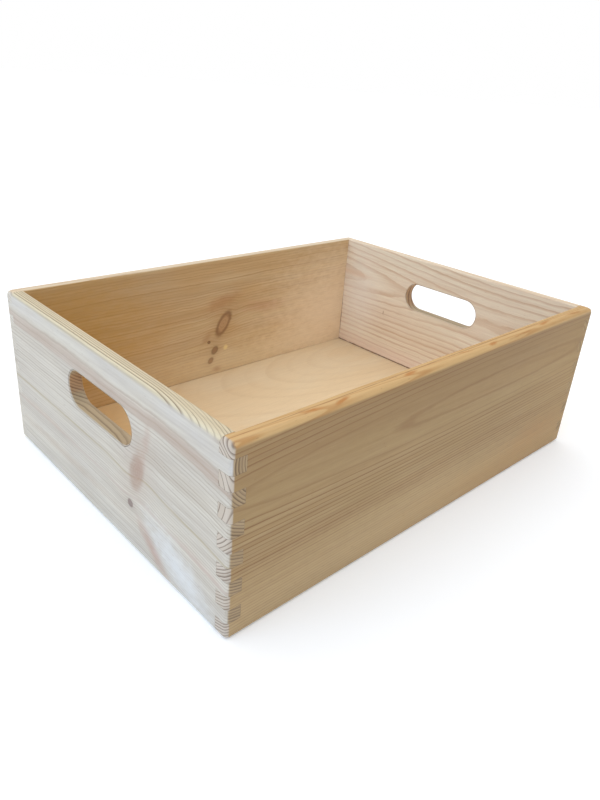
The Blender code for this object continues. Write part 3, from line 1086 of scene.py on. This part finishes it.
# %% Left end board, with the leaning knot
LEFT_PINE = pine(
    "left_pine", False, seed=5, comb_start=END_COMB_START, slot_middle=-SLOT_OFFSET / MM,
    rim_facing=(0.2, 0.75), end_facing=(0.75, 0.97),
    rings={"centre_depth": -171.6, "centre_height": 128, "turn_start": -50, "dip": -8e-4,
           "first_ring": 30, "ring_width": 2.1, "waver": 1.6, "ripple": 0.25, "line_width": 0.8,
           "weakest": 0.2},
    colours={"pale": (216, 208, 193), "pale_other": (208, 200, 185), "mottle": (205, 197, 184),
             "line": (146, 124, 100), "contrast": 0.58, "streak": 0.2, "rim": (222, 210, 180),
             "rim_line": (122, 100, 74), "rim_contrast": 0.9, "end": (180, 156, 122),
             "end_other": (170, 145, 110), "end_line": (92, 70, 50), "end_contrast": 0.8,
             "joint": (120, 100, 84)},
    knots=[((-50.8, 66.5, 13.5, 6.8, 110), 6.5, 2.6,
            {"heart": (156, 122, 102), "ring": (176, 146, 126), "bark": (160, 128, 108), "halo": 0.25,
             "cover": 0.55, "edge": 0.2, "soft": 0.5}),
           ((-41, 37, 3, 2.8, 0), 1.4, 1.8,
            {"heart": (132, 110, 102), "ring": (112, 88, 80), "bark": (116, 90, 82), "halo": 0.2,
             "cover": 0.8, "edge": 0.4, "soft": 0.3})],
    rim_rings={"centre_depth": -171.6, "centre_height": 128, "turn": -2e-3, "turn_start": -60,
               "turn_low": -100, "first_ring": 30, "ring_width": 1.75, "waver": 0.8, "ripple": 0.12,
               "line_width": 0.75, "weakest": 0.4},
    bands=[(18, 29.4, (220, 224, 234), 0.65), (28.9, 35.5, (178, 154, 136), 0.66),
           (70.6, 73.6, (176, 160, 126), 0.55),
           (88, 91, (184, 162, 148), 0.5)],
    stains_and_painted_light=[((-64, 96, 20, 6, 105), 0.8, 0, (184, 156, 140), 0.5),
            ((-54, 72, 26, 9, 108), 0.9, 0, (190, 156, 136), 0.4),
            ((-68, 16, 34, 9, 38), 1, 0, (176, 134, 114), 0.6),
            ((-98, 20, 62, 22, 26), 0.9, 0, (226, 227, 226), 0.6),
            ((-120, 40, 40, 5, 8), 0.9, 0, (190, 160, 144), 0.35),
            ((60, 25, 110, 6, 0), 0.8, 0.1, (184, 164, 142), 0.45),
            ((90, 45, 70, 4, 0), 0.8, 0.1, (192, 170, 150), 0.4)])

# %% Right end board, with wide rings
RIGHT_PINE = pine(
    "right_pine", False, seed=9, comb_start=END_COMB_START, slot_middle=SLOT_OFFSET / MM,
    rings={"centre_depth": 161.3, "depth_lean": 0.076, "centre_height": 92, "height_lean": 0.0375,
           "turn": 7.6e-4, "turn_low": -100, "first_ring": 24.8, "ring_width": 5.05, "waver": 1.2,
           "ripple": 0.45, "line_width": 2, "weakest": 0.6, "flat_fade": 0.5},
    colours={"pale": (248, 232, 204), "pale_other": (244, 224, 194), "mottle": (244, 224, 196),
             "line": (200, 152, 108), "contrast": 0.62, "streak": 0.2, "rim": (232, 214, 188),
             "rim_line": (196, 162, 122), "rim_contrast": 0.4, "end": (178, 150, 108),
             "end_other": (170, 142, 100), "end_line": (118, 92, 62), "end_contrast": 0.6,
             "joint": (110, 86, 62)},
    # Painted light: the first patch, near white, lightens the part near the back corner, against the
    # shade of that corner.
    stains_and_painted_light=[((118, 70, 50, 80, 0), 0.4, 0, (255, 246, 232), 0.5),
            ((10, 70, 60, 60, 0), 0.4, 0, (226, 198, 164), 0.3),
            ((125, 98, 40, 6, 0), 0.8, 0, (224, 172, 128), 0.4),
            ((60, 16, 200, 16, 0), 0.6, 0, (238, 204, 182), 0.5),
            ((74, 64, 1, 3.4, 6), 0.5, 0.2, (168, 122, 84), 0.7),
            # Painted shade: a dark line along the foot of the board, where it meets the floor.
            ((0, 12, 500, 1.2, 0), 1.4, 0.2, (118, 78, 54), 0.85),
            # Painted shadow: a dark upright line in the inner corner with the back board, at the gap of
            # the glue joint.
            ((137.2, 42, 0.9, 34, 0), 0.9, 0.2, (132, 88, 58), 0.7)])

# %% Floor plywood
FLOOR_PLY = pine(
    "floor_ply", True, seed=17, comb_start=NO_COMB,
    rings={"centre_depth": 95, "centre_height": -60, "height_lean": 0.30, "first_ring": 76,
           "ring_width": 9, "waver": 4, "ripple": 0.2, "line_width": 3, "weakest": 0.3},
    colours={"pale": (232, 212, 178), "pale_other": (230, 209, 174), "mottle": (230, 206, 168),
             "line": (200, 166, 122), "contrast": 0.17, "streak": 0.07, "rim": (222, 200, 164),
             "rim_line": (190, 154, 110), "rim_contrast": 0.4, "end": (214, 196, 170),
             "end_other": (204, 184, 158), "end_line": (130, 106, 84), "end_contrast": 0.5,
             "joint": (96, 72, 52)},
    # Painted light: the left part of the floor is warmer, for light thrown back from the inner walls.
    stains_and_painted_light=[((-150, 60, 130, 170, 0), 0.4, 0, (236, 192, 120), 0.5)])

FINISHES = ((front, FRONT_PINE), (back, BACK_PINE), (left, LEFT_PINE), (right, RIGHT_PINE),
            (floor, FLOOR_PLY))
for piece, material in FINISHES:
    piece.data.materials.clear()
    piece.data.materials.append(material)
print("materials:", [material.name for material in bpy.data.materials])

# %% [markdown]
# ## One body
#
# Nothing on the crate moves, so every piece rides on its one body. Each new piece takes the
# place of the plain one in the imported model.

# %% Ride and replace
for piece, node in ((front, "front_board"), (back, "back_board"), (left, "left_end_board"),
                    (right, "right_end_board"), (floor, "bottom_panel")):
    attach(piece, "root")
    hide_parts(node)
